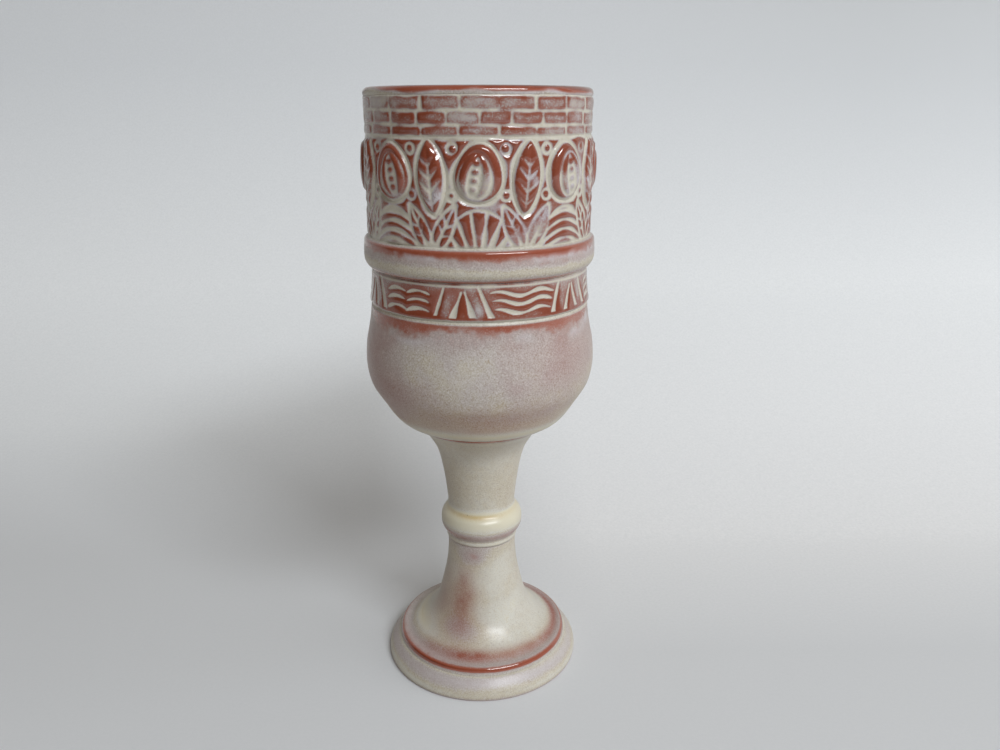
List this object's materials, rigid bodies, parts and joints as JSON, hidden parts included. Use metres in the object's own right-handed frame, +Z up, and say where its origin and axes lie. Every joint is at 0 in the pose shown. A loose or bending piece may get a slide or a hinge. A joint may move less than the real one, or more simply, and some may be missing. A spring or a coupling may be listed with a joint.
{
  "type": "ceramic chalice",
  "caption": "Tall stemmed ceramic cup with a banded relief drum over a round bowl, a hollow stem with a knop, and a stepped round foot, in a breaking cream glaze over red clay.",
  "frame": {"origin": "middle of the foot's underside, on the floor, on the chalice's axis", "axes": "+Z up along the chalice's axis, -Y towards the viewer in the picture, +X to the viewer's right"},
  "size_m": [0.0844, 0.0844, 0.2214],
  "materials": {
    "cream_glaze": "satin gloss",
    "relief_glaze": "satin gloss",
    "bare_clay": "unglazed"
  },
  "bodies": {
    "root": {"foot_plate": "cream_glaze", "pedestal": "cream_glaze", "knop_ring": "cream_glaze", "upper_stem": "cream_glaze", "cup": "cream_glaze", "wave_band": "relief_glaze", "collar_ring": "cream_glaze", "frieze_band": "relief_glaze", "brick_band": "relief_glaze", "slip_bed_foot": "bare_clay", "slip_bed_knop": "bare_clay", "slip_bed_stem": "bare_clay", "slip_bed_cup": "bare_clay", "slip_coat_drum": "bare_clay", "pod_sprig_1": "relief_glaze", "leaf_sprig_1": "relief_glaze", "pod_sprig_2": "relief_glaze", "leaf_sprig_2": "relief_glaze", "pod_sprig_3": "relief_glaze", "leaf_sprig_3": "relief_glaze", "pod_sprig_4": "relief_glaze", "leaf_sprig_4": "relief_glaze", "pod_sprig_5": "relief_glaze", "leaf_sprig_5": "relief_glaze", "pod_sprig_6": "relief_glaze", "leaf_sprig_6": "relief_glaze", "pod_sprig_7": "relief_glaze", "leaf_sprig_7": "relief_glaze", "pod_sprig_8": "relief_glaze", "leaf_sprig_8": "relief_glaze"}
  },
  "joints": []
}
